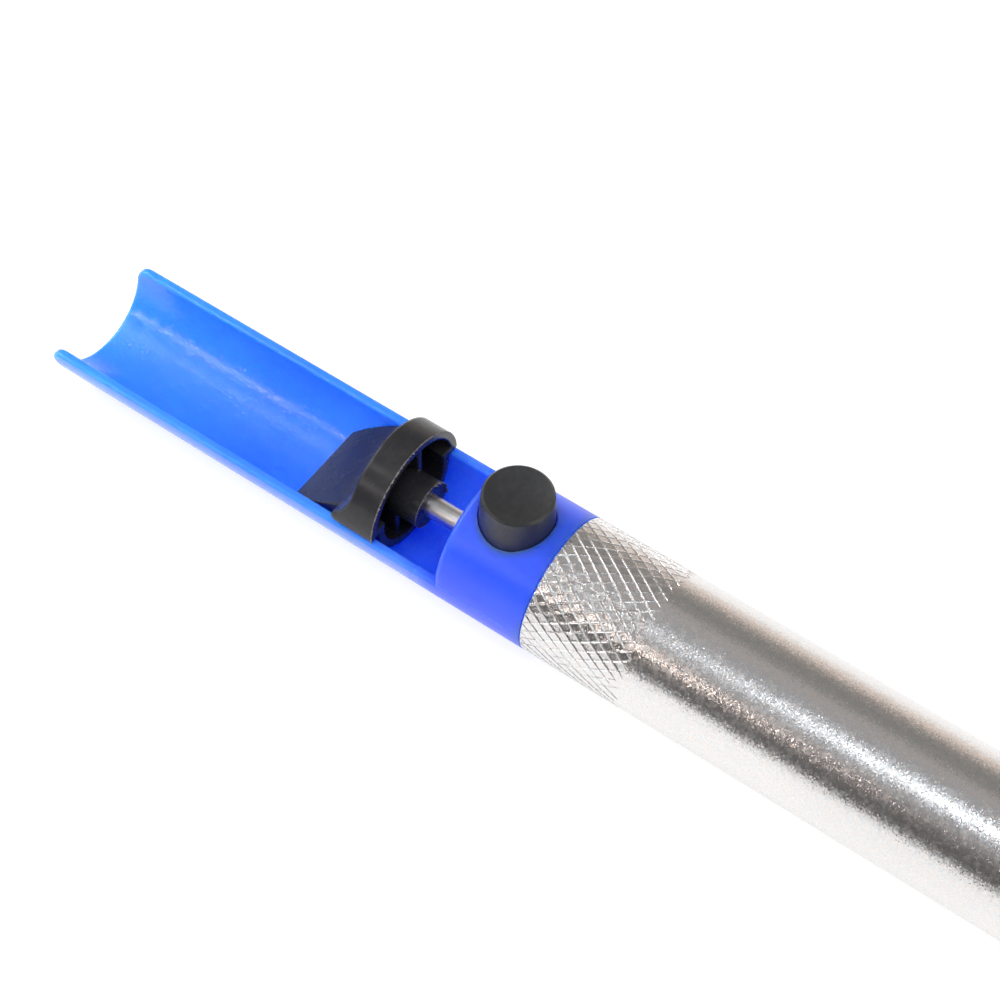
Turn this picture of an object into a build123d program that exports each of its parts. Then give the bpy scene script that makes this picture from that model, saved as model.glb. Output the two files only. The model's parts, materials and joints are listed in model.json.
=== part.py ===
from build123d import *
from math import cos, radians, tan
import os

os.makedirs("parts", exist_ok=True)

# Spring-driven desoldering pump, lying on its side with the release button up. Millimetres.
# X is the pump's axis and +X points out of the nozzle. +Z points out of the button.
# The origin is the centre of the nozzle's tip. The plunger is modelled cocked.

# Layout along the axis, from the nozzle's tip backwards
NOZZLE_REACH = 9.5
NOSE_REACH = 15.0
BARREL_LENGTH = 90.0
CAP_LENGTH = 13.7
GUARD_REACH = 66.8

# Barrel tube
BARREL_R = 10.0
BARREL_BORE_R = 9.0
BARREL_CHAMFER = 0.2
KNURL_LENGTH = 15.5
KNURL_DEPTH = 0.2

# Rear cap and guard
PLUG_R = 8.95
PLUG_LENGTH = 10.0
PLUG_CHAMFER = 0.6
CAP_EDGE_R = 0.8
GUARD_WALL = 1.45
GUARD_EDGE_R = 0.5
LIP_CORNER_R = 2.0
PARTING_LINE = 0.12
ROD_GUIDE_R = 1.65
AIR_PASSAGE_R = 2.8
BUMPER_LENGTH = 1.5
BUMPER_R = 8.5
BUMPER_BORE_R = 4.2

# Release button, latch and their well in the cap
BUTTON_SETBACK = 7.4
BUTTON_TRAVEL = 2.5
BUTTON_TOP_Z = 14.33
BUTTON_TOP_R = 4.8
BUTTON_BASE_R = 5.03
BUTTON_RIM = 0.34
BUTTON_DISH = 0.6
HEAD_FLOOR_Z = 6.4
STEM_R = 3.5
STEM_FLOOR_Z = -4.0
WELL_R = 5.2
WELL_FLOOR_Z = 3.4
STEM_WELL_R = 3.7
STEM_WELL_FLOOR_Z = -8.5
WINDOW_GAP = 0.2
PLATE_THICKNESS = 0.8
PLATE_WIDTH = 5.6
PLATE_FLOOR_Z = -3.2
PLATE_TOP_Z = 5.6
LATCH_GAP = 0.15
BUTTON_SPRING_R = 2.4
BUTTON_SPRING_WIRE_R = 0.2
BUTTON_SPRING_TURNS = 4
SPRING_END_GAP = 0.05

# Plunger rod and handle
ROD_R = 1.6
ROD_CHAMFER = 0.3
THREAD_R = 1.5
LATCH_GROOVE_R = 1.1
LATCH_GROOVE_WIDTH = 1.4
HANDLE_SETBACK = 24.0
HANDLE_LENGTH = 15.6
HANDLE_BAND_R = 9.8
HANDLE_BODY_R = 8.0
HANDLE_WALL = 1.2
BAND_LENGTH = 4.4
BAND_LIFT = 0.3
BAND_EDGE_R = 0.4
TIP_EDGE_R = 0.3
BAND_CORNER_R = 0.8
RAMP_ANGLE = 36.5
RAMP_CORNER_Z = 3.3
RAMP_R = 5.0
HUB_R = 3.5
HUB_REACH = 2.7
HUB_CORE_LENGTH = 9.5
RIB_THICKNESS = 0.9
RIB_SETBACK = 0.8
UPPER_RIB_Y = 2.4
LOWER_RIB_Y = -2.8

# Piston and what holds it on the rod
PISTON_SETBACK = 49.7
PISTON_R = 8.6
PISTON_LENGTH = 9.0
PISTON_CHAMFER = 0.4
BOSS_R = 5.6
BOSS_LENGTH = 4.0
PISTON_RING_WIRE_R = 1.2
RING_BORE_GAP = 0.05
RING_FLOOR_GAP = 0.03
RING_SIDE_GAP = 0.15
CLIP_RECESS_R = 3.7
CLIP_RECESS_DEPTH = 0.9
CLIP_R = 3.2
CLIP_THICKNESS = 0.6
CLIP_GROOVE_R = 1.25
CLIP_SLOT = 2.5
WASHER_R = 3.5
WASHER_THICKNESS = 0.5
NUT_FLATS = 5.5
NUT_LENGTH = 2.4
THREAD_OVERRUN = 0.8
PIN_R = 0.6
PIN_ROOT = 4.0
PIN_END_X = -9.0

# Nose cone, nozzle and main spring
NOSE_PLUG_R = 8.93
NOSE_PLUG_LENGTH = 8.0
NOSE_COLLAR_LENGTH = 3.5
NOSE_COLLAR_R = 9.7
NOSE_SHOULDER_R = 9.1
NOSE_FRONT_R = 5.2
NOSE_RING_WIRE_R = 0.75
NOSE_RING_SETBACK = 4.0
NOZZLE_TIP_R = 2.6
NOZZLE_BODY_R = 3.5
NOZZLE_BORE_R = 1.5
NOZZLE_BORE_LENGTH = 6.0
NOZZLE_THROAT_R = 2.2
NOZZLE_SLEEVE_LENGTH = 9.5
NOZZLE_FLANGE_R = 5.5
NOZZLE_FLANGE_LENGTH = 3.4
NOZZLE_RING_WIRE_R = 0.6
NOZZLE_EDGE = 0.4
FIT_GAP = 0.05
CHAMBER_R = 5.9
SEAT_R = 8.6
SEAT_BORE_R = 6.0
SEAT_THICKNESS = 1.0
SPRING_R = 7.1
SPRING_WIRE_R = 0.55
SPRING_TURNS = 15

# Stations along X that follow from the layout
nose_front_x = -NOZZLE_REACH
barrel_front_x = nose_front_x - NOSE_REACH
barrel_rear_x = barrel_front_x - BARREL_LENGTH
cap_rear_x = barrel_rear_x - CAP_LENGTH
guard_end_x = cap_rear_x - GUARD_REACH
plug_front_x = barrel_rear_x + PLUG_LENGTH
button_x = barrel_rear_x - BUTTON_SETBACK
handle_front_x = barrel_rear_x - HANDLE_SETBACK
handle_end_x = handle_front_x - HANDLE_LENGTH
hub_front_x = handle_front_x + HUB_REACH
rod_rear_x = hub_front_x - HUB_CORE_LENGTH
piston_rear_x = barrel_rear_x + PISTON_SETBACK
piston_shoulder_x = piston_rear_x + PISTON_LENGTH
boss_front_x = piston_shoulder_x + BOSS_LENGTH
nut_rear_x = boss_front_x + WASHER_THICKNESS
rod_front_x = nut_rear_x + NUT_LENGTH + THREAD_OVERRUN
nose_plug_rear_x = barrel_front_x - NOSE_PLUG_LENGTH
seat_rear_x = nose_plug_rear_x - SEAT_THICKNESS
button_axis = Axis((button_x, 0, 0), (0, 0, 1))


def half_section(points, plane=Plane.XZ):
    """Closed outline of straight runs. On Plane.XZ a point is (x, radius)."""
    with BuildSketch(plane) as section:
        with BuildLine():
            Polyline(*points, close=True)
        make_face()
    return section.sketch


def wire_section(x, radius, wire_r):
    """Round section of a ring whose axis is the pump's axis."""
    with BuildSketch(Plane.XZ) as section:
        with Locations((x, radius)):
            Circle(wire_r)
    return section.sketch


def save(builder, name):
    """Label a finished piece and write its STEP file."""
    builder.part.label = name
    export_step(builder.part, f"parts/{name}.step")


# ---- Barrel tube: plain tube, with a slightly smaller band where the knurl is cut ----
knurl_r = BARREL_R - KNURL_DEPTH
knurl_end_x = barrel_rear_x + KNURL_LENGTH

with BuildPart() as barrel_tube:
    revolve(
        half_section([
            (barrel_rear_x, BARREL_BORE_R),
            (barrel_rear_x, knurl_r - BARREL_CHAMFER),
            (barrel_rear_x + BARREL_CHAMFER, knurl_r),
            (knurl_end_x, knurl_r),
            (knurl_end_x + KNURL_DEPTH, BARREL_R),
            (barrel_front_x - BARREL_CHAMFER, BARREL_R),
            (barrel_front_x, BARREL_R - BARREL_CHAMFER),
            (barrel_front_x, BARREL_BORE_R),
        ]),
        axis=Axis.X,
    )
save(barrel_tube, "barrel_tube")


# ---- Rear cap and guard: one moulding, a plug and cap with a half pipe behind ----
guard_join_x = cap_rear_x + 2 * CAP_EDGE_R
guard_profile = half_section(
    [
        (guard_end_x, BARREL_R - GUARD_WALL),
        (guard_end_x, BARREL_R),
        (guard_join_x, BARREL_R),
        (guard_join_x, BARREL_R - GUARD_WALL),
    ],
    Plane.XY,
)

with BuildPart() as guard_cap:
    revolve(guard_profile, axis=Axis((0, 0, 0), (-1, 0, 0)), revolution_arc=180)
    fillet(guard_cap.edges().filter_by(Axis.Y).group_by(Axis.X)[0], LIP_CORNER_R)
    lip_rims = guard_cap.edges().filter_by(lambda edge: edge.center().X < guard_join_x - GUARD_EDGE_R)
    fillet(lip_rims.filter_by(Axis.Y, reverse=True), GUARD_EDGE_R)
    with BuildSketch(Plane.XZ):
        with BuildLine():
            Polyline(
                (cap_rear_x, BARREL_R - CAP_EDGE_R),
                (cap_rear_x, 0),
                (plug_front_x, 0),
                (plug_front_x, PLUG_R - PLUG_CHAMFER),
                (plug_front_x - PLUG_CHAMFER, PLUG_R),
                (barrel_rear_x, PLUG_R),
                (barrel_rear_x, BARREL_R),
                (cap_rear_x + CAP_EDGE_R, BARREL_R),
            )
            RadiusArc(
                (cap_rear_x, BARREL_R - CAP_EDGE_R), (cap_rear_x + CAP_EDGE_R, BARREL_R), CAP_EDGE_R
            )
        make_face()
    revolve(axis=Axis.X)
    # Guide hole for the rod, then a wider air passage in front of the latch.
    with BuildSketch(Plane.YZ.offset(cap_rear_x)):
        Circle(ROD_GUIDE_R)
    extrude(amount=CAP_LENGTH, mode=Mode.SUBTRACT)
    with BuildSketch(Plane.YZ.offset(button_x)):
        Circle(AIR_PASSAGE_R)
    extrude(amount=plug_front_x - button_x, mode=Mode.SUBTRACT)
    # Wells for the button's head and for its stem and spring.
    with BuildSketch(Plane.XY.offset(WELL_FLOOR_Z)):
        with Locations((button_x, 0)):
            Circle(WELL_R)
    extrude(amount=BARREL_R, mode=Mode.SUBTRACT)
    with BuildSketch(Plane.XY.offset(STEM_WELL_FLOOR_Z)):
        with Locations((button_x, 0)):
            Circle(STEM_WELL_R)
    extrude(amount=WELL_FLOOR_Z - STEM_WELL_FLOOR_Z, mode=Mode.SUBTRACT)
    # Fine parting line on each side of the cap, level with the guard's lips.
    with Locations(*[((cap_rear_x + barrel_rear_x) / 2, side * BARREL_R, 0) for side in (-1, 1)]):
        Box(CAP_LENGTH, 2 * PARTING_LINE, PARTING_LINE, mode=Mode.SUBTRACT)
save(guard_cap, "guard_cap")

with BuildPart() as rear_bumper:
    with BuildSketch(Plane.YZ.offset(plug_front_x)):
        Circle(BUMPER_R)
        Circle(BUMPER_BORE_R, mode=Mode.SUBTRACT)
    extrude(amount=BUMPER_LENGTH)
save(rear_bumper, "rear_bumper")


# ---- Release button: dished head, and a stem with a window for the rod ----
latch_r = ROD_R + LATCH_GAP
latch_reach = BUTTON_TRAVEL + LATCH_GAP
dish_edge_r = BUTTON_TOP_R - BUTTON_RIM
dish_r = (dish_edge_r**2 + BUTTON_DISH**2) / (2 * BUTTON_DISH)


def rod_window(plane, radius):
    """Upright slot that clears the rod over the button's travel."""
    with BuildSketch(plane) as window:
        with Locations((0, latch_reach / 2)):
            SlotCenterToCenter(latch_reach, 2 * radius, rotation=90)
    return window.sketch


with BuildPart() as release_button:
    with BuildSketch(Plane.XZ):
        with BuildLine():
            Polyline(
                (button_x, BUTTON_TOP_Z),
                (button_x, HEAD_FLOOR_Z),
                (button_x + BUTTON_BASE_R, HEAD_FLOOR_Z),
                (button_x + BUTTON_BASE_R, BARREL_R),
                (button_x + BUTTON_TOP_R, BUTTON_TOP_Z - BUTTON_RIM),
                (button_x + dish_edge_r, BUTTON_TOP_Z),
                close=True,
            )
        make_face()
    revolve(axis=button_axis)
    with Locations((button_x, 0, BUTTON_TOP_Z - BUTTON_DISH + dish_r)):
        Sphere(dish_r, mode=Mode.SUBTRACT)
    with BuildSketch(Plane.XY.offset(STEM_FLOOR_Z)):
        with Locations((button_x, 0)):
            Circle(STEM_R)
    extrude(amount=HEAD_FLOOR_Z - STEM_FLOOR_Z)
    extrude(
        rod_window(Plane.YZ.offset(button_x), latch_r + WINDOW_GAP),
        STEM_R,
        both=True,
        mode=Mode.SUBTRACT,
    )
    with Locations((button_x, 0, PLATE_FLOOR_Z)):
        Box(
            PLATE_THICKNESS,
            PLATE_WIDTH,
            PLATE_TOP_Z - PLATE_FLOOR_Z,
            align=(Align.CENTER, Align.CENTER, Align.MIN),
            mode=Mode.SUBTRACT,
        )
save(release_button, "release_button")

with BuildPart() as latch_plate:
    with Locations((button_x, 0, PLATE_FLOOR_Z)):
        Box(
            PLATE_THICKNESS,
            PLATE_WIDTH,
            PLATE_TOP_Z - PLATE_FLOOR_Z,
            align=(Align.CENTER, Align.CENTER, Align.MIN),
        )
    extrude(
        rod_window(Plane.YZ.offset(button_x), latch_r),
        PLATE_THICKNESS,
        both=True,
        mode=Mode.SUBTRACT,
    )
save(latch_plate, "latch_plate")


def coil(start, direction, radius, wire_r, length, turns):
    """Helical spring that fills the given length, wire included."""
    height = length - 2 * wire_r
    with BuildPart() as spring:
        with BuildLine() as path:
            Helix(height / turns, height, radius, center=start, direction=direction)
        with BuildSketch(Plane(origin=path.line @ 0, z_dir=path.line % 0)):
            Circle(wire_r)
        sweep()
    return spring


button_spring_floor = STEM_WELL_FLOOR_Z + SPRING_END_GAP
button_spring = coil(
    (button_x, 0, button_spring_floor + BUTTON_SPRING_WIRE_R),
    (0, 0, 1),
    BUTTON_SPRING_R,
    BUTTON_SPRING_WIRE_R,
    STEM_FLOOR_Z - SPRING_END_GAP - button_spring_floor,
    BUTTON_SPRING_TURNS,
)
save(button_spring, "button_spring")


# ---- Plunger rod: latch groove, clip groove, threaded front end bored for the pin ----
clip_rear_x = piston_rear_x + CLIP_RECESS_DEPTH - CLIP_THICKNESS
clip_front_x = clip_rear_x + CLIP_THICKNESS
groove_rear_x = button_x - LATCH_GROOVE_WIDTH / 2
groove_front_x = button_x + LATCH_GROOVE_WIDTH / 2

with BuildPart() as plunger_rod:
    revolve(
        half_section([
            (rod_rear_x, 0),
            (rod_rear_x, ROD_R - ROD_CHAMFER),
            (rod_rear_x + ROD_CHAMFER, ROD_R),
            (groove_rear_x, ROD_R),
            (groove_rear_x, LATCH_GROOVE_R),
            (groove_front_x, LATCH_GROOVE_R),
            (groove_front_x, ROD_R),
            (clip_rear_x, ROD_R),
            (clip_rear_x, CLIP_GROOVE_R),
            (clip_front_x, CLIP_GROOVE_R),
            (clip_front_x, ROD_R),
            (boss_front_x, ROD_R),
            (boss_front_x, THREAD_R),
            (rod_front_x, THREAD_R),
            (rod_front_x, PIN_R),
            (rod_front_x - PIN_ROOT, PIN_R),
            (rod_front_x - PIN_ROOT, 0),
        ]),
        axis=Axis.X,
    )
save(plunger_rod, "plunger_rod")

with BuildPart() as cleaning_pin:
    revolve(
        half_section([
            (rod_front_x - PIN_ROOT, 0),
            (rod_front_x - PIN_ROOT, PIN_R),
            (PIN_END_X - PIN_R, PIN_R),
            (PIN_END_X, PIN_R / 2),
            (PIN_END_X, 0),
        ]),
        axis=Axis.X,
    )
save(cleaning_pin, "cleaning_pin")


# ---- Thumb handle: hollow body in the guard, arched band over its lips, concave ramp ----
def handle_form(inset, front_x):
    """The handle's outer form, or with an inset the hollow inside its wall."""
    ramp_tan = tan(radians(RAMP_ANGLE))
    band_rear_x = handle_front_x - BAND_LENGTH + inset
    corner_z = RAMP_CORNER_Z + inset * ramp_tan - inset / cos(radians(RAMP_ANGLE))
    end_x = handle_end_x + inset
    end_z = corner_z - (band_rear_x - end_x) * ramp_tan
    band_r = HANDLE_BAND_R - inset
    band_floor = BAND_LIFT + inset
    band_corner_x = band_rear_x - (corner_z - band_floor) / ramp_tan
    with BuildPart() as form:
        with BuildSketch(Plane.YZ.offset(front_x)):
            Circle(HANDLE_BODY_R - inset)
        extrude(amount=end_x - front_x)
        with BuildSketch(Plane.XZ):
            with BuildLine():
                FilletPolyline(
                    (band_rear_x, band_r),
                    (band_rear_x, corner_z),
                    (end_x, end_z),
                    radius=RAMP_R + inset,
                )
                Polyline(
                    (end_x, end_z),
                    (end_x, -band_r),
                    (front_x, -band_r),
                    (front_x, band_r),
                    (band_rear_x, band_r),
                )
            make_face()
        extrude(amount=BARREL_R, both=True, mode=Mode.INTERSECT)
    with BuildPart() as band:
        with BuildSketch(Plane.YZ.offset(front_x)):
            Circle(band_r)
            with Locations((0, band_floor - band_r)):
                Rectangle(2 * band_r, 2 * band_r, mode=Mode.SUBTRACT)
        extrude(amount=band_corner_x - front_x)
        with BuildSketch(Plane.XZ):
            with BuildLine():
                FilletPolyline(
                    (band_rear_x, band_r),
                    (band_rear_x, corner_z),
                    (band_corner_x, band_floor),
                    (front_x, band_floor),
                    radius=[RAMP_R - 2 * inset, max(BAND_CORNER_R - inset, BAND_CORNER_R / 8)],
                )
                Polyline((front_x, band_floor), (front_x, band_r), (band_rear_x, band_r))
            make_face()
        extrude(amount=BARREL_R, both=True, mode=Mode.INTERSECT)
    return form.part + band.part


with BuildPart() as handle_inner:
    with BuildSketch(Plane.YZ.offset(hub_front_x)):
        Circle(HUB_R)
    extrude(amount=handle_end_x - hub_front_x)
    with BuildSketch(Plane.YZ.offset(handle_front_x - RIB_SETBACK)):
        with Locations((UPPER_RIB_Y, HANDLE_BAND_R / 2), (LOWER_RIB_Y, -HANDLE_BAND_R / 2)):
            Rectangle(RIB_THICKNESS, HANDLE_BAND_R)
    extrude(amount=handle_end_x - handle_front_x)
    add(handle_form(HANDLE_WALL / 2, hub_front_x), mode=Mode.INTERSECT)

with BuildPart() as thumb_handle:
    add(handle_form(0, handle_front_x))
    tip_rims = thumb_handle.faces().sort_by(Axis.X)[0].edges()
    fillet(tip_rims, TIP_EDGE_R)
    band_rims = thumb_handle.edges().filter_by(GeomType.CIRCLE).group_by(Axis.Z)[-1]
    fillet(band_rims.sort_by(Axis.X)[0], BAND_EDGE_R)
    add(handle_form(HANDLE_WALL, handle_front_x), mode=Mode.SUBTRACT)
    add(handle_inner.part)
    with BuildSketch(Plane.YZ.offset(hub_front_x)):
        Circle(ROD_R)
    extrude(amount=rod_rear_x - hub_front_x, mode=Mode.SUBTRACT)
save(thumb_handle, "thumb_handle")


# ---- Piston, its ring, and the clip, washer and nut that hold it on the rod ----
piston_ring_x = piston_rear_x + PISTON_LENGTH / 2
piston_ring_r = BARREL_BORE_R - RING_BORE_GAP - PISTON_RING_WIRE_R
piston_groove_r = piston_ring_r - PISTON_RING_WIRE_R - RING_FLOOR_GAP
piston_groove_half = PISTON_RING_WIRE_R + RING_SIDE_GAP

with BuildPart() as piston:
    revolve(
        half_section([
            (piston_rear_x, CLIP_RECESS_R),
            (piston_rear_x, PISTON_R - PISTON_CHAMFER),
            (piston_rear_x + PISTON_CHAMFER, PISTON_R),
            (piston_ring_x - piston_groove_half, PISTON_R),
            (piston_ring_x - piston_groove_half, piston_groove_r),
            (piston_ring_x + piston_groove_half, piston_groove_r),
            (piston_ring_x + piston_groove_half, PISTON_R),
            (piston_shoulder_x - PISTON_CHAMFER, PISTON_R),
            (piston_shoulder_x, PISTON_R - PISTON_CHAMFER),
            (piston_shoulder_x, BOSS_R),
            (boss_front_x - PISTON_CHAMFER, BOSS_R),
            (boss_front_x, BOSS_R - PISTON_CHAMFER),
            (boss_front_x, ROD_R),
            (piston_rear_x + CLIP_RECESS_DEPTH, ROD_R),
            (piston_rear_x + CLIP_RECESS_DEPTH, CLIP_RECESS_R),
        ]),
        axis=Axis.X,
    )
save(piston, "piston")

with BuildPart() as piston_o_ring:
    revolve(wire_section(piston_ring_x, piston_ring_r, PISTON_RING_WIRE_R), axis=Axis.X)
save(piston_o_ring, "piston_o_ring")

with BuildPart() as piston_clip:
    with BuildSketch(Plane.YZ.offset(clip_rear_x)):
        Circle(CLIP_R)
        Circle(CLIP_GROOVE_R, mode=Mode.SUBTRACT)
        with Locations((0, -CLIP_R)):
            Rectangle(CLIP_SLOT, 2 * CLIP_R, mode=Mode.SUBTRACT)
    extrude(amount=CLIP_THICKNESS)
save(piston_clip, "piston_clip")

with BuildPart() as piston_washer:
    with BuildSketch(Plane.YZ.offset(boss_front_x)):
        Circle(WASHER_R)
        Circle(THREAD_R, mode=Mode.SUBTRACT)
    extrude(amount=WASHER_THICKNESS)
save(piston_washer, "piston_washer")

with BuildPart() as piston_nut:
    with BuildSketch(Plane.YZ.offset(nut_rear_x)):
        RegularPolygon(NUT_FLATS / 2, 6, major_radius=False)
        Circle(THREAD_R, mode=Mode.SUBTRACT)
    extrude(amount=NUT_LENGTH)
save(piston_nut, "piston_nut")


# ---- Nose cone: collar and cone in front, plug with a ring groove in the tube ----
sleeve_rear_x = nose_front_x - NOZZLE_SLEEVE_LENGTH
flange_rear_x = sleeve_rear_x - NOZZLE_FLANGE_LENGTH
collar_front_x = barrel_front_x + NOSE_COLLAR_LENGTH
nose_ring_x = barrel_front_x - NOSE_RING_SETBACK
nose_ring_r = BARREL_BORE_R - RING_BORE_GAP - NOSE_RING_WIRE_R
nose_groove_r = nose_ring_r - NOSE_RING_WIRE_R - RING_FLOOR_GAP
nose_groove_half = NOSE_RING_WIRE_R + RING_SIDE_GAP

with BuildPart() as nose_cone:
    revolve(
        half_section([
            (nose_front_x, NOZZLE_BODY_R + FIT_GAP),
            (nose_front_x, NOSE_FRONT_R - NOZZLE_EDGE),
            (nose_front_x - NOZZLE_EDGE, NOSE_FRONT_R),
            (collar_front_x, NOSE_SHOULDER_R),
            (collar_front_x, NOSE_COLLAR_R - NOZZLE_EDGE),
            (collar_front_x - NOZZLE_EDGE, NOSE_COLLAR_R),
            (barrel_front_x, NOSE_COLLAR_R),
            (barrel_front_x, NOSE_PLUG_R),
            (nose_ring_x + nose_groove_half, NOSE_PLUG_R),
            (nose_ring_x + nose_groove_half, nose_groove_r),
            (nose_ring_x - nose_groove_half, nose_groove_r),
            (nose_ring_x - nose_groove_half, NOSE_PLUG_R),
            (nose_plug_rear_x + NOZZLE_EDGE, NOSE_PLUG_R),
            (nose_plug_rear_x, NOSE_PLUG_R - NOZZLE_EDGE),
            (nose_plug_rear_x, CHAMBER_R),
            (flange_rear_x, CHAMBER_R),
            (flange_rear_x, NOZZLE_FLANGE_R + 2 * FIT_GAP),
            (sleeve_rear_x, NOZZLE_FLANGE_R + 2 * FIT_GAP),
            (sleeve_rear_x, NOZZLE_BODY_R + FIT_GAP),
        ]),
        axis=Axis.X,
    )
save(nose_cone, "nose_cone")

with BuildPart() as nose_o_ring:
    revolve(wire_section(nose_ring_x, nose_ring_r, NOSE_RING_WIRE_R), axis=Axis.X)
save(nose_o_ring, "nose_o_ring")

nozzle_ring_x = sleeve_rear_x - NOZZLE_FLANGE_LENGTH / 2
nozzle_ring_r = NOZZLE_FLANGE_R + 2 * FIT_GAP - NOZZLE_RING_WIRE_R - RING_FLOOR_GAP
nozzle_groove_r = nozzle_ring_r - NOZZLE_RING_WIRE_R - RING_FLOOR_GAP
nozzle_groove_half = NOZZLE_RING_WIRE_R + RING_SIDE_GAP

with BuildPart() as nozzle:
    revolve(
        half_section([
            (0, NOZZLE_BORE_R),
            (0, NOZZLE_TIP_R - NOZZLE_EDGE),
            (-NOZZLE_EDGE, NOZZLE_TIP_R),
            (nose_front_x, NOZZLE_BODY_R),
            (sleeve_rear_x, NOZZLE_BODY_R),
            (sleeve_rear_x, NOZZLE_FLANGE_R),
            (nozzle_ring_x + nozzle_groove_half, NOZZLE_FLANGE_R),
            (nozzle_ring_x + nozzle_groove_half, nozzle_groove_r),
            (nozzle_ring_x - nozzle_groove_half, nozzle_groove_r),
            (nozzle_ring_x - nozzle_groove_half, NOZZLE_FLANGE_R),
            (flange_rear_x, NOZZLE_FLANGE_R),
            (flange_rear_x, NOZZLE_THROAT_R),
            (nose_front_x, NOZZLE_THROAT_R),
            (-NOZZLE_BORE_LENGTH, NOZZLE_BORE_R),
        ]),
        axis=Axis.X,
    )
save(nozzle, "nozzle")

with BuildPart() as nozzle_o_ring:
    revolve(wire_section(nozzle_ring_x, nozzle_ring_r, NOZZLE_RING_WIRE_R), axis=Axis.X)
save(nozzle_o_ring, "nozzle_o_ring")


# ---- Main spring between the piston and its seat on the nose plug ----
with BuildPart() as spring_seat:
    with BuildSketch(Plane.YZ.offset(seat_rear_x)):
        Circle(SEAT_R)
        Circle(SEAT_BORE_R, mode=Mode.SUBTRACT)
    extrude(amount=SEAT_THICKNESS)
save(spring_seat, "spring_seat")

spring_rear_x = piston_shoulder_x + SPRING_END_GAP
main_spring = coil(
    (spring_rear_x + SPRING_WIRE_R, 0, 0),
    (1, 0, 0),
    SPRING_R,
    SPRING_WIRE_R,
    seat_rear_x - SPRING_END_GAP - spring_rear_x,
    SPRING_TURNS,
)
save(main_spring, "main_spring")
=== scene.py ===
import json
from math import atan2, cos, pi, radians, sin

import bmesh
import bpy
from mathutils import Matrix, Vector, noise


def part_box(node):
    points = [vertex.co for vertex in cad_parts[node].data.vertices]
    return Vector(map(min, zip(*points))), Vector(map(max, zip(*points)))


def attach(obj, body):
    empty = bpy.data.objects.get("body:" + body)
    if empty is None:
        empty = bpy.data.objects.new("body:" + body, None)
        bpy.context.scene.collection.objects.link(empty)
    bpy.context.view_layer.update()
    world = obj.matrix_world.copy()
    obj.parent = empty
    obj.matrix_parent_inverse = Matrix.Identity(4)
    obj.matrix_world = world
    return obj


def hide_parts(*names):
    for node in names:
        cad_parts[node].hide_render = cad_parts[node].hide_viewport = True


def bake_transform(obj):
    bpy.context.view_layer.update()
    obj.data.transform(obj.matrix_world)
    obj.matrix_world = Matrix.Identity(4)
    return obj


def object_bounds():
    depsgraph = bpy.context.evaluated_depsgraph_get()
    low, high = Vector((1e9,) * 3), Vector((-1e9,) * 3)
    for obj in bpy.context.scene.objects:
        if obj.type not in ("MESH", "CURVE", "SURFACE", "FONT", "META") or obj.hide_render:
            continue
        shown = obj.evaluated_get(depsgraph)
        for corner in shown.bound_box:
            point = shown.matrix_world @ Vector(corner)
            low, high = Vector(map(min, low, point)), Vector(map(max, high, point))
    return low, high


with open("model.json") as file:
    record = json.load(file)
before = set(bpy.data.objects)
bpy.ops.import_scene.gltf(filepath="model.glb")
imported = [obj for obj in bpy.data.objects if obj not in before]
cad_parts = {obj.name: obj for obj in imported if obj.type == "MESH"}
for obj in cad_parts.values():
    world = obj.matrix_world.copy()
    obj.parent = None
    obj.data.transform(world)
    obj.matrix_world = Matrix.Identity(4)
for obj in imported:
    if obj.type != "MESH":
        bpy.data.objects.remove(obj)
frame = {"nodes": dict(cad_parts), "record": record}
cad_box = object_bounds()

# A desoldering pump on a pale bench. Metres; +X out of the nozzle, +Z out of the release button.
MM = 0.001

# Camera's place, its angles in degrees and its lens in mm, and the floor's side in metres
CAMERA_PLACE = Vector((-39.99, -128.67, 234.61)) * MM
CAMERA_AZIMUTH = 33.351
CAMERA_ELEVATION = 55.475
CAMERA_ROLL = 2.03
CAMERA_LENS = 75.98
FLOOR_SIZE = 6.0

# The blue moulding in mm: the cap's length behind the tube, and the skin outside the trough
CAP_LENGTH = 12.0
GUARD_SKIN = 1.0
# The handle's edges catch light as if rounded to this radius in mm
EDGE_R = 0.45

nodes = frame["nodes"]
barrel_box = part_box("barrel_tube")
barrel_rear_x = barrel_box[0].x
barrel_front_x = barrel_box[1].x
barrel_r = barrel_box[1].z
cap_rear_x = barrel_rear_x - CAP_LENGTH * MM
trough_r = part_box("guard_cap")[1].y - GUARD_SKIN * MM


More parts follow.
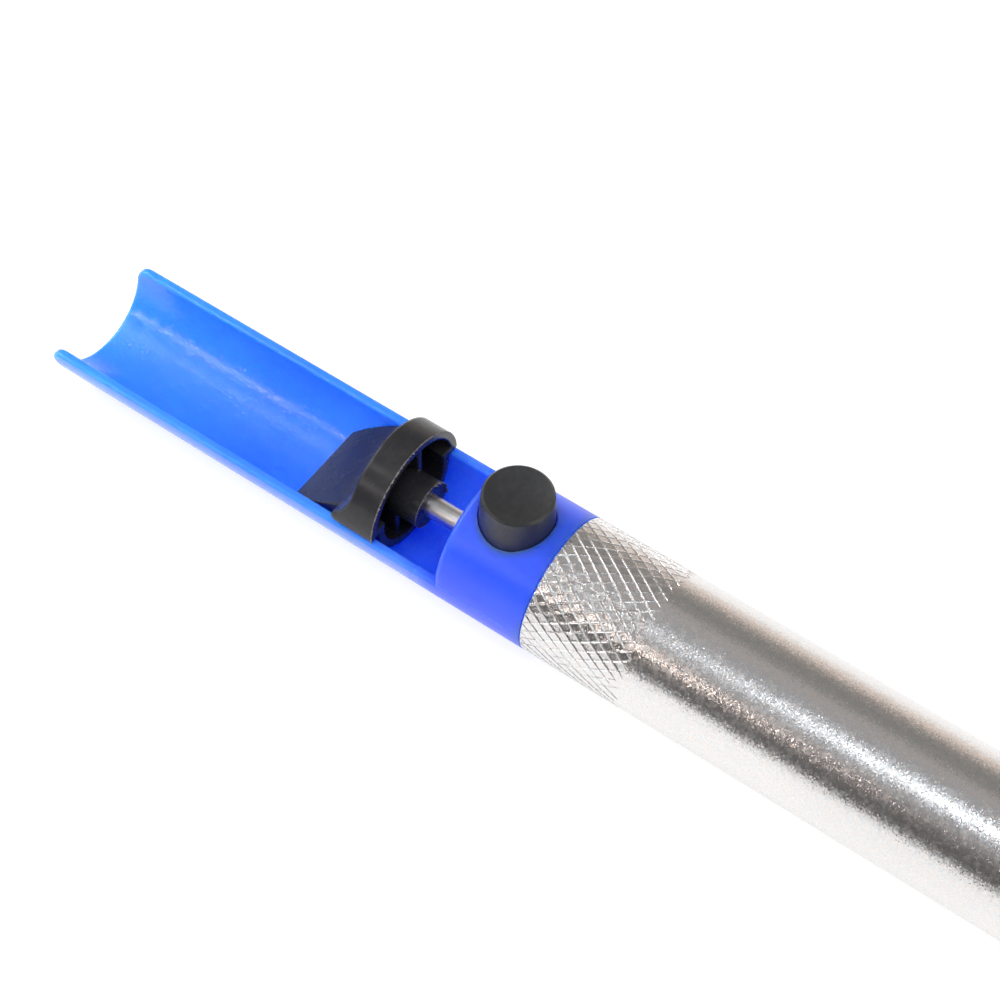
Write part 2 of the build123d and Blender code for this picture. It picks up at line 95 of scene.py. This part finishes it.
# ---------------------------------------------------------------- materials
class Look:
    """A Principled material whose node tree is built up call by call, in millimetres."""

    def __init__(self, name, roughness=0.5, metallic=0.0, **sockets):
        self.material = bpy.data.materials.new(name)
        self.material.use_nodes = True
        self.tree = self.material.node_tree
        self.shader = self.tree.nodes["Principled BSDF"]
        self.set(self.shader, Roughness=roughness, Metallic=metallic)
        for socket, value in sockets.items():
            self.shader.inputs[socket.replace("_", " ")].default_value = value
        self.millimetres = self.node("ShaderNodeVectorMath", operation="SCALE")
        self.millimetres.inputs["Scale"].default_value = 1 / MM
        self.link(self.node("ShaderNodeTexCoord").outputs["Object"], self.millimetres.inputs[0])
        self.normal = None

    def node(self, kind, **settings):
        made = self.tree.nodes.new(kind)
        for key, value in settings.items():
            setattr(made, key, value)
        return made

    def set(self, made, **sockets):
        for socket, value in sockets.items():
            made.inputs[socket].default_value = value

    def link(self, output, socket):
        self.tree.links.new(output, socket)

    def noise(self, scale, detail=3.0, roughness=0.5, stretch=(1, 1, 1), distortion=0.0):
        """Noise with scale cells in a millimetre, longer along an axis where stretch is under 1."""
        mapping = self.node("ShaderNodeMapping")
        mapping.inputs["Scale"].default_value = stretch
        made = self.node("ShaderNodeTexNoise")
        self.set(made, Scale=scale, Detail=detail, Roughness=roughness, Distortion=distortion)
        self.link(self.millimetres.outputs[0], mapping.inputs["Vector"])
        self.link(mapping.outputs[0], made.inputs["Vector"])
        return made.outputs["Fac"]

    def ramp(self, value, *stops):
        """Colour by value; each stop is (place, colour)."""
        made = self.node("ShaderNodeValToRGB")
        band = made.color_ramp
        while len(band.elements) < len(stops):
            band.elements.new(0.5)
        for element, (place, colour) in zip(band.elements, stops):
            element.position = place
            element.color = (*colour, 1)
        self.link(value, made.inputs["Fac"])
        return made.outputs["Color"]

    def mix(self, factor, a, b, blend="MIX"):
        """Mix of two colours; factor, a and b are outputs, numbers or colours."""
        made = self.node("ShaderNodeMix", data_type="RGBA", blend_type=blend)
        for socket, value in ((made.inputs[0], factor), (made.inputs[6], a), (made.inputs[7], b)):
            if isinstance(value, bpy.types.NodeSocket):
                self.link(value, socket)
            else:
                socket.default_value = (*value, 1) if isinstance(value, tuple) else value
        return made.outputs[2]

    def vector_maths(self, operation, a, b=None, c=None):
        """Vector maths on outputs or plain vectors."""
        made = self.node("ShaderNodeVectorMath", operation=operation)
        for socket, value in zip(made.inputs, (a, b, c)):
            if isinstance(value, bpy.types.NodeSocket):
                self.link(value, socket)
            elif value is not None:
                socket.default_value = value
        return made.outputs[0]

    def colour(self, output):
        self.link(output, self.shader.inputs["Base Color"])

    def shade_normal(self, output):
        self.normal = output
        self.link(output, self.shader.inputs["Normal"])

    def along(self, start, end):
        """0 to 1 as the object's X goes from start to end, in metres."""
        split = self.node("ShaderNodeSeparateXYZ")
        self.link(self.millimetres.outputs[0], split.inputs[0])
        made = self.node("ShaderNodeMapRange")
        made.inputs["From Min"].default_value = start / MM
        made.inputs["From Max"].default_value = end / MM
        self.link(split.outputs["X"], made.inputs["Value"])
        return made.outputs[0]

    def rough(self, value, low, high):
        """Roughness from low to high as value goes from 0.3 to 0.7."""
        made = self.node("ShaderNodeMapRange")
        limits = {"From Min": 0.3, "From Max": 0.7, "To Min": low, "To Max": high}
        for socket, number in limits.items():
            made.inputs[socket].default_value = number
        self.link(value, made.inputs["Value"])
        self.link(made.outputs[0], self.shader.inputs["Roughness"])

    def rounded(self, radius):
        """Edges that catch light as if rounded to that radius in metres."""
        made = self.node("ShaderNodeBevel", samples=8)
        made.inputs["Radius"].default_value = radius
        self.shade_normal(made.outputs["Normal"])

    def within(self, radius):
        """1 nearer the object's X axis than the radius in metres, 0 beyond it."""
        across = self.vector_maths("MULTIPLY", self.millimetres.outputs[0], (0, 1, 1))
        length = self.node("ShaderNodeVectorMath", operation="LENGTH")
        self.link(across, length.inputs[0])
        made = self.node("ShaderNodeMath", operation="LESS_THAN")
        made.inputs[1].default_value = radius / MM
        self.link(length.outputs["Value"], made.inputs[0])
        return made.outputs[0]

    def facets(self, count, tilt, stray=0.0, where=None):
        """Tiny facets, that many in a millimetre, on the surface as far as where is 1.

        Each leans at random by up to half tilt along each axis, and a few by up to half stray more.
        """
        cells = self.node("ShaderNodeTexVoronoi")
        cells.inputs["Scale"].default_value = count
        self.link(self.millimetres.outputs[0], cells.inputs["Vector"])
        centred = self.vector_maths("SUBTRACT", cells.outputs["Color"], (0.5, 0.5, 0.5))
        square = self.vector_maths("MULTIPLY", centred, centred)
        fourth = self.vector_maths("MULTIPLY", square, square)
        share = self.vector_maths("MULTIPLY_ADD", fourth, (16 * stray,) * 3, (tilt,) * 3)
        tilted = self.vector_maths("MULTIPLY", centred, share)
        if where:
            tilted = self.vector_maths("MULTIPLY", tilted, where)
        plain = self.node("ShaderNodeNewGeometry").outputs["Normal"]
        self.shade_normal(self.vector_maths("NORMALIZE", self.vector_maths("ADD", plain, tilted)))

    def bump(self, value, height, strength=1.0):
        """Relief of that height in millimetres, on top of any given before."""
        made = self.node("ShaderNodeBump")
        self.set(made, Strength=strength, Distance=height * MM)
        self.link(value, made.inputs["Height"])
        if self.normal:
            self.link(self.normal, made.inputs["Normal"])
        self.shade_normal(made.outputs["Normal"])


def plated_metal():
    look = Look("plated_metal", metallic=1.0)
    tone = look.noise(0.08, detail=4, stretch=(0.3, 1, 1))
    grain = look.noise(3.4, detail=2, roughness=0.65)
    hue = look.noise(1.7, detail=1)
    flecks = look.ramp(grain, (0.45, (0.76, 0.75, 0.745)), (0.66, (0.81, 0.8, 0.8)))
    tint = look.ramp(hue, (0.35, (0.95, 0.98, 1.0)), (0.65, (1.0, 0.975, 0.96)))
    shade = look.ramp(tone, (0.3, (0.94, 0.93, 0.92)), (0.7, (1.0, 0.99, 0.98)))
    look.colour(look.mix(1.0, look.mix(1.0, flecks, shade, "MULTIPLY"), tint, "MULTIPLY"))
    look.rough(look.noise(1.4, detail=3), 0.22, 0.3)
    look.facets(7.0, 0.03, 0.2)
    look.bump(look.noise(1.1, detail=1), 0.003)
    return look.material


def blue_plastic():
    look = Look(
        "blue_plastic",
        Subsurface_Weight=1.0,
        Subsurface_Radius=(0.8, 3.0, 7.0),
        Subsurface_Scale=MM,
        Specular_IOR_Level=0.5,
    )
    tone = look.noise(0.12, detail=3)
    thick = look.ramp(tone, (0.3, (0.019, 0.072, 0.78)), (0.7, (0.023, 0.085, 0.84)))
    # Thin wall: paler for being thin, plus a painted glow of the floor's light shining through it
    thin_wall_glow = look.ramp(tone, (0.3, (0.032, 0.172, 0.93)), (0.7, (0.038, 0.192, 0.97)))
    # Far tip: paler still, a painted cyan glow of light through the thin plastic
    tip = look.ramp(tone, (0.3, (0.035, 0.22, 0.96)), (0.7, (0.04, 0.245, 1.0)))
    # Stretch under the handle: painted light that lifts the shade the handle casts there
    painted_lift_under_handle = look.ramp(tone, (0.3, (0.05, 0.16, 0.96)), (0.7, (0.06, 0.18, 1.0)))

    def behind_cap(start, end):
        return look.along(cap_rear_x - start * MM, cap_rear_x - end * MM)

    # From the guard's far tip to the cap: pale tip with painted glow, thin wall with painted glow
    # of light through it, stretch shaded by the handle with painted light lifting that shade, thick
    # cap
    guard = look.mix(behind_cap(40, 66), thin_wall_glow, tip)
    guard = look.mix(behind_cap(8, 20), painted_lift_under_handle, guard)
    look.colour(look.mix(behind_cap(0.5, 8), thick, guard))
    polish = look.mix(0.2, behind_cap(0, 10), look.noise(0.9, detail=3))
    look.rough(polish, 0.36, 0.18)
    look.facets(6.0, 0.04, 0.3, look.within(trough_r))
    look.bump(look.noise(0.4, detail=1), 0.004)
    return look.material


def black_plastic():
    look = Look("black_plastic", Specular_IOR_Level=0.31)
    look.rounded(EDGE_R * MM)
    tone = look.noise(0.6, detail=4)
    look.colour(look.ramp(tone, (0.3, (0.014, 0.015, 0.018)), (0.72, (0.02, 0.019, 0.02))))
    look.rough(look.noise(0.5, detail=1), 0.2, 0.3)
    look.bump(look.noise(0.25, detail=0), 0.01)
    return look.material


def button_plastic():
    look = Look("button_plastic", Specular_IOR_Level=0.45)
    tone = look.noise(1.2, detail=4)
    look.colour(look.ramp(tone, (0.3, (0.013, 0.014, 0.015)), (0.75, (0.02, 0.02, 0.022))))
    look.rough(look.noise(0.8, detail=4), 0.36, 0.44)
    look.facets(6.0, 0.1)
    look.bump(look.noise(0.6, detail=2), 0.006)
    return look.material


def ground_steel(name, tint, low=0.18, high=0.34):
    look = Look(name, metallic=1.0)
    lines = look.noise(1.6, detail=4, stretch=(0.05, 1, 1))
    dark = tuple(0.82 * channel for channel in tint)
    look.colour(look.ramp(look.noise(0.4, detail=3), (0.3, dark), (0.7, tint)))
    look.rough(lines, low, high)
    look.bump(lines, 0.006, 0.4)
    return look.material


def waxy_plastic(name, light, dark):
    look = Look(
        name,
        Subsurface_Weight=0.25,
        Subsurface_Radius=(1.0, 0.9, 0.7),
        Subsurface_Scale=MM,
    )
    look.colour(look.ramp(look.noise(0.15, detail=4), (0.3, dark), (0.7, light)))
    look.rough(look.noise(0.7, detail=4), 0.32, 0.5)
    look.bump(look.noise(1.8, detail=3), 0.012, 0.4)
    return look.material


def rubber():
    look = Look("rubber")
    dust = look.noise(0.9, detail=4)
    look.colour(look.ramp(dust, (0.3, (0.012, 0.012, 0.012)), (0.75, (0.04, 0.038, 0.036))))
    look.rough(look.noise(1.2, detail=4), 0.5, 0.75)
    look.bump(look.noise(3.0, detail=3), 0.015, 0.5)
    return look.material


slot_looks = {
    "barrel_metal": plated_metal(),
    "blue_plastic": blue_plastic(),
    "black_plastic": black_plastic(),
    "button_plastic": button_plastic(),
    "rod_steel": ground_steel("rod_steel", (0.86, 0.85, 0.84), 0.3, 0.44),
    "spring_steel": ground_steel("spring_steel", (0.5, 0.5, 0.52), 0.24, 0.42),
    "zinc_steel": ground_steel("zinc_steel", (0.62, 0.62, 0.58), 0.28, 0.46),
    "seal_rubber": rubber(),
    "nozzle_white": waxy_plastic("nozzle_white", (0.86, 0.85, 0.8), (0.78, 0.76, 0.7)),
    "piston_nylon": waxy_plastic("piston_nylon", (0.74, 0.73, 0.67), (0.66, 0.64, 0.57)),
}
node_slots = {row["node"]: row["material_slot"] for row in frame["record"]["subparts"]}
for name, node in nodes.items():
    node.data.materials.clear()
    node.data.materials.append(slot_looks[node_slots[name]])


# ---------------------------------------------------------------- knurled tube
# Millimetres. Two families of grooves cross. The pitch is the space between grooves along the tube,
# KNURL_FADE is the length over which they run out at the front, and KNURL_MARGIN is the plain skin
# left before them. GROOVE_SHARE is how deep each family is cut, as a share of the section's depth.
# The burrs beside the grooves stand at most BURR above the skin.
KNURL_STARTS = 42
KNURL_PITCH = 2.39
KNURL_LENGTH = 15.5
KNURL_FADE = 1.6
KNURL_MARGIN = 0.2
GROOVE_SHARE = (0.6, 1.0)
TUBE_CHAMFER = 0.2
TUBE_BORE_R = 9.0
BURR = 0.03
# One groove's section: place across it, as a share of the space between grooves, and height in mm.
GROOVE = ((0, -0.1), (0.05, -0.07), (0.085, 0.028), (0.13, 0.006), (0.22, 0), (0.5, 0), (0.78, 0),
          (0.87, 0.006), (0.915, 0.028), (0.95, -0.07))


def groove_depth(family, line, along, knurl_share):
    """How deep a groove is cut at a place along it: uneven, and run out near the knurl's front."""
    uneven = GROOVE_SHARE[family] + 0.4 * noise.noise((line * 7.3, along * 0.23, family * 31.7))
    ragged = noise.noise((line * 5.1, 2.7, family * 17.3))
    run_out = (1 - knurl_share) * KNURL_LENGTH / KNURL_FADE
    return max(0.2, uneven) * max(min(run_out + 1.4 * ragged, 3 * run_out, 1), 0)


def knurl_place(s, t, plain_r):
    """Corner (s, t) of the net that runs along both families of grooves, on the tube's skin."""
    # a and b are places across the two families, counted in grooves
    count = len(GROOVE)
    a = s // count + GROOVE[s % count][0]
    b = t // count + GROOVE[t % count][0]
    x = KNURL_PITCH * (a - b) / 2
    angle = pi * (a + b) / KNURL_STARTS
    share = x / KNURL_LENGTH
    families = ((0, round(a), s % count, b), (1, round(b), t % count, a))
    first, second = (
        GROOVE[across][1] * groove_depth(family, line % KNURL_STARTS, along % KNURL_STARTS, share)
        for family, line, across, along in families
    )
    height = min(first, second) if min(first, second) < 0 else min(max(first, second), BURR)
    r = plain_r + height * MM
    return Vector((barrel_rear_x + x * MM, r * cos(angle), r * sin(angle)))


def loft(bm, loop, x, r):
    """Skin from a loop of edges round the axis to a circle at x, and the new loop."""
    grown = bmesh.ops.extrude_edge_only(bm, edges=loop)["geom"]
    for vertex in (v for v in grown if isinstance(v, bmesh.types.BMVert)):
        angle = atan2(vertex.co.z, vertex.co.y)
        vertex.co = (x, r * cos(angle), r * sin(angle))
    corners = {v for v in grown if isinstance(v, bmesh.types.BMVert)}
    return [e for e in grown if isinstance(e, bmesh.types.BMEdge) and set(e.verts) <= corners]


def cut_loop(bm, x, side):
    """Trim what lies beyond x on that side, and the loop of edges that is left there."""
    geometry = bm.verts[:] + bm.edges[:] + bm.faces[:]
    made = bmesh.ops.bisect_plane(
        bm, geom=geometry, plane_co=(x, 0, 0), plane_no=(side, 0, 0), clear_outer=True, dist=1e-7
    )["geom_cut"]
    return [e for e in made if isinstance(e, bmesh.types.BMEdge)]


def finish_mesh(bm, name, material, sharp=35):
    """Object from a bmesh, smooth but for edges sharper than that many degrees."""
    bmesh.ops.recalc_face_normals(bm, faces=bm.faces)
    mesh = bpy.data.meshes.new(name)
    bm.to_mesh(mesh)
    bm.free()
    mesh.shade_smooth()
    mesh.set_sharp_from_angle(angle=radians(sharp))
    mesh.materials.append(material)
    piece = bpy.data.objects.new(name, mesh)
    bpy.context.scene.collection.objects.link(piece)
    return piece


def knurled_tube():
    """The tube: a knurled band at the rear, plain in front, bored through."""
    plain_r = barrel_r - BURR * MM
    count = len(GROOVE)
    turn = count * KNURL_STARTS
    rows = int(2 * KNURL_LENGTH / KNURL_PITCH) + 2
    chamfer = TUBE_CHAMFER * MM
    bm = bmesh.new()
    corners = {}

    def corner(s, t):
        turns, t_in = divmod(t, turn)
        key = (s - turns * turn, t_in)
        if key not in corners:
            corners[key] = bm.verts.new(knurl_place(*key, plain_r))
        return corners[key]

    # The net starts behind the tube's rear and ends past the knurl's front, and is trimmed at both
    for t in range(turn):
        first = t - t % count - count
        for s in range(first, first + count * (rows + 2)):
            bm.faces.new((corner(s, t), corner(s + 1, t), corner(s + 1, t + 1), corner(s, t + 1)))
    rear = cut_loop(bm, barrel_rear_x + chamfer, -1)
    front = cut_loop(bm, barrel_rear_x + KNURL_LENGTH * MM, 1)
    bore_r = TUBE_BORE_R * MM
    rear = loft(bm, rear, barrel_rear_x, plain_r - chamfer)
    for x, r in (
        (barrel_rear_x + (KNURL_LENGTH + KNURL_MARGIN) * MM, plain_r),
        (barrel_front_x - chamfer, plain_r),
        (barrel_front_x, plain_r - chamfer),
        (barrel_front_x, bore_r),
        (barrel_rear_x, bore_r),
    ):
        front = loft(bm, front, x, r)
    bmesh.ops.bridge_loops(bm, edges=front + rear)
    tube = finish_mesh(bm, "knurled_tube", slot_looks["barrel_metal"])
    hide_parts("barrel_tube")
    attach(tube, "barrel")


knurled_tube()


# ---------------------------------------------------------------- springs
# Radius of the wire in mm, turns, and steps in a turn
MAIN_SPRING = (0.55, 15, 22)
BUTTON_SPRING = (0.2, 5, 18)


def coil_mesh(name, start, end, outer_r, wire_mm, turns, steps):
    """Compression spring from start to end, its end turns closed, as a tube of that wire."""
    wire_r = wire_mm * MM
    radius = outer_r - wire_r
    length = (end - start).length
    axis = (end - start).normalized()
    side = axis.orthogonal().normalized()
    other = axis.cross(side)
    rise = length - 2 * wire_r
    closed = min(2 * wire_r / rise, 0.5)
    curve = bpy.data.curves.new(name, "CURVE")
    curve.dimensions = "3D"
    curve.bevel_depth = wire_r
    curve.bevel_resolution = 3
    curve.use_fill_caps = True
    spline = curve.splines.new("POLY")
    count = int(turns * steps) + 1
    spline.points.add(count - 1)
    for index, point in enumerate(spline.points):
        turn = index / steps
        share = min(turn, turns - turn, 1)
        middle = (turn - 1) / (turns - 2)
        lift = closed + (1 - 2 * closed) * min(max(middle, 0), 1)
        if share < 1:
            lift = closed * turn if turn < turns / 2 else 1 - closed * (turns - turn)
        angle = 2 * pi * turn
        place = start + axis * (wire_r + rise * lift)
        place += (side * cos(angle) + other * sin(angle)) * radius
        point.co = (*place, 1)
    holder = bpy.data.objects.new(name + "_path", curve)
    mesh = bpy.data.meshes.new_from_object(holder)
    mesh.name = name
    bpy.data.objects.remove(holder)
    mesh.shade_smooth()
    mesh.materials.clear()
    mesh.materials.append(slot_looks["spring_steel"])
    piece = bpy.data.objects.new(name, mesh)
    bpy.context.scene.collection.objects.link(piece)
    return piece


def make_springs():
    low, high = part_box("main_spring")
    rear, front = Vector((low.x, 0, 0)), Vector((high.x, 0, 0))
    main = coil_mesh("piston_spring", rear, front, high.z, *MAIN_SPRING)
    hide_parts("main_spring")
    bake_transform(main)
    low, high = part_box("button_spring")
    foot = Vector(((low.x + high.x) / 2, 0, low.z))
    top = Vector((foot.x, 0, high.z))
    small = coil_mesh("latch_spring", foot, top, high.y, *BUTTON_SPRING)
    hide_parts("button_spring")
    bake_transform(small)


make_springs()


# ---------------------------------------------------------------- moulding flash on the handle
# The hub's radius and how far it stands forward of the band's rim, in mm. FLASH_STEP is the step
# along a fin, as a share of its thickness.
FLASH_STEP = 0.6
HUB_R = 3.5
HUB_REACH = 2.7


def torn_plastic():
    look = Look("torn_plastic")
    tears = look.noise(2.0, detail=4)
    look.colour(look.ramp(tears, (0.35, (0.05, 0.046, 0.044)), (0.7, (0.16, 0.14, 0.13))))
    look.rough(look.noise(1.5, detail=3), 0.35, 0.6)
    look.bump(look.noise(5.0, detail=2), 0.01)
    return look.material


def ragged_fin(name, material, x, r, angles, reach, thick, seed):
    """Thin torn fin that stands forward of a round rim at x, between two angles in degrees."""
    start, end = (radians(angle) for angle in angles)
    count = int(abs(end - start) * r / (FLASH_STEP * thick)) + 1
    bm = bmesh.new()
    rows = []
    for index in range(count + 1):
        share = index / count
        angle = start + (end - start) * share
        place = index * FLASH_STEP
        tear = 0.5 + 0.8 * noise.noise((place * 0.35, seed, 0))
        tear += 0.5 * noise.noise((place, seed, 5))
        tip = reach * max(tear, 0.04) * min(share * 12, 1)
        lean = 0.5 * thick * noise.noise((place * 0.5, seed, 9))
        section = ((-thick, r - thick), (-thick, r + thick / 4), (tip, r - thick / 4 + lean))
        rows.append([
            bm.verts.new((x + dx, radius * cos(angle), radius * sin(angle)))
            for dx, radius in section
        ])
    for row, following in zip(rows, rows[1:]):
        for side in range(3):
            bm.faces.new((row[side], row[side - 1], following[side - 1], following[side]))
    for row in (rows[0], rows[-1]):
        bm.faces.new(row)
    fin = finish_mesh(bm, name, material, sharp=60)
    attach(fin, "plunger")


def make_flash():
    handle_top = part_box("thumb_handle")[1]
    band_r = handle_top.z
    hub_r = HUB_R * MM
    hub_x = handle_top.x
    rim_x = hub_x - HUB_REACH * MM
    torn = torn_plastic()
    ragged_fin("rim_flash", torn, rim_x, band_r, (28, 179), 0.16 * MM, 0.1 * MM, 3.1)
    ragged_fin("hub_flash", torn, hub_x, hub_r, (-20, 75), 0.45 * MM, 0.1 * MM, 8.4)
    ragged_fin("hub_edge", torn, hub_x, hub_r, (75, 260), 0.1 * MM, 0.06 * MM, 1.7)


make_flash()


# ---------------------------------------------------------------- stage
# The studio's colour by angle in degrees about the pump, from the far side over the top to the near
STUDIO_BANDS = (
    (0, (0.95, 0.84, 0.76)), (14, (0.9, 0.76, 0.68)), (24, (0.34, 0.31, 0.29)),
    (42, (0.24, 0.24, 0.23)), (58, (0.28, 0.28, 0.27)), (68, (0.52, 0.47, 0.45)),
    (78, (0.38, 0.37, 0.37)), (95, (0.34, 0.34, 0.35)), (125, (0.38, 0.38, 0.39)),
    (138, (0.24, 0.23, 0.23)), (152, (0.1, 0.095, 0.095)), (180, (0.05, 0.05, 0.05)),
)


def floor_look():
    look = Look("bench", roughness=0.6)
    look.colour(look.ramp(look.noise(0.004, detail=2), (0.3, (0.26,) * 3), (0.7, (0.29,) * 3)))
    look.shader.inputs["Emission Color"].default_value = (1, 1, 1, 1)
    look.shader.inputs["Emission Strength"].default_value = 0.76
    return look.material


def make_floor():
    mesh = bpy.data.meshes.new("bench")
    half = FLOOR_SIZE / 2
    z = cad_box[0].z
    corners = [(-half, -half, z), (half, -half, z), (half, half, z), (-half, half, z)]
    mesh.from_pydata(corners, [], [(0, 1, 2, 3)])
    mesh.materials.append(floor_look())
    floor = bpy.data.objects.new("bench", mesh)
    bpy.context.scene.collection.objects.link(floor)


def make_world():
    """Grey studio, the same along the pump and banded across it."""
    world = bpy.data.worlds.new("studio")
    world.use_nodes = True
    tree = world.node_tree
    coordinates = tree.nodes.new("ShaderNodeTexCoord")
    split = tree.nodes.new("ShaderNodeSeparateXYZ")
    angle = tree.nodes.new("ShaderNodeMath")
    angle.operation = "ARCTAN2"
    share = tree.nodes.new("ShaderNodeMath")
    share.operation = "DIVIDE"
    share.inputs[1].default_value = pi
    ramp = tree.nodes.new("ShaderNodeValToRGB")
    while len(ramp.color_ramp.elements) < len(STUDIO_BANDS):
        ramp.color_ramp.elements.new(0.5)
    for element, (place, colour) in zip(ramp.color_ramp.elements, STUDIO_BANDS):
        element.position = place / 180
        element.color = (*colour, 1)
    links = tree.links
    links.new(coordinates.outputs["Generated"], split.inputs[0])
    links.new(split.outputs["Z"], angle.inputs[0])
    links.new(split.outputs["Y"], angle.inputs[1])
    links.new(angle.outputs[0], share.inputs[0])
    links.new(share.outputs[0], ramp.inputs[0])
    links.new(ramp.outputs[0], tree.nodes["Background"].inputs["Color"])
    tree.nodes["Background"].inputs["Strength"].default_value = 1.0
    bpy.context.scene.world = world


def softbox(name, target, direction, distance, size, power, colour=(1, 1, 1), mirrored=True):
    """Rectangular light that faces the target from a direction; glossy surfaces may mirror it."""
    light = bpy.data.lights.new(name, "AREA")
    light.shape = "RECTANGLE"
    light.size, light.size_y = size
    light.energy = power
    light.color = colour
    lamp = bpy.data.objects.new(name, light)
    away = Vector(direction).normalized()
    lamp.location = target + away * distance
    lamp.rotation_euler = away.to_track_quat("Z", "Y").to_euler()
    lamp.visible_glossy = mirrored
    bpy.context.scene.collection.objects.link(lamp)


def make_camera():
    azimuth, elevation, roll = (radians(a) for a in (CAMERA_AZIMUTH, CAMERA_ELEVATION, CAMERA_ROLL))
    back = Vector((sin(azimuth) * cos(elevation), -cos(azimuth) * cos(elevation), sin(elevation)))
    level = Vector((cos(azimuth), sin(azimuth), 0))
    upright = back.cross(level)
    right = level * cos(roll) + upright * sin(roll)
    up = upright * cos(roll) - level * sin(roll)
    camera = bpy.data.objects.new("camera", bpy.data.cameras.new("camera"))
    camera.data.lens = CAMERA_LENS
    camera.data.sensor_width = 36
    camera.data.clip_start = 0.01
    turned = Matrix((right, up, back)).transposed().to_4x4()
    camera.matrix_world = Matrix.Translation(CAMERA_PLACE) @ turned
    bpy.context.scene.collection.objects.link(camera)
    bpy.context.scene.camera = camera


make_floor()
make_world()
middle = Vector((-0.12, 0, 0))
tube_rear = Vector((-0.09, 0, 0))
guard_middle = Vector((-0.17, 0, 0))
softbox("strip", middle, (0.16, -0.27, 1), 1.15, (0.6, 0.13), 1.5, (0.88, 0.94, 1))
softbox("lamp", tube_rear, (-0.3, -0.75, 0.57), 0.9, (0.1, 0.05), 0.3, (1, 0.84, 0.76))
softbox("far_lamp", guard_middle, (-0.47, -0.7, 0.52), 0.9, (0.1, 0.05), 0.5, (1, 0.93, 0.88))
softbox("trough_lamp", guard_middle, (-0.42, -0.29, 0.87), 1.2, (0.4, 0.05), 0.38)
softbox("left_bank", middle, (-0.8, -0.1, 0.6), 1.2, (0.9, 0.7), 7)
softbox("right_bank", middle, (0.8, 0.1, 0.6), 1.2, (0.9, 0.7), 4)
softbox("fill", middle, (0, -0.1, 1), 1.3, (1.2, 1.0), 11, mirrored=False)
softbox("near_fill", middle, (-0.1, -1, 0.7), 1.3, (1.2, 0.8), 9, mirrored=False)
make_camera()
bpy.context.scene.view_settings.view_transform = "Standard"
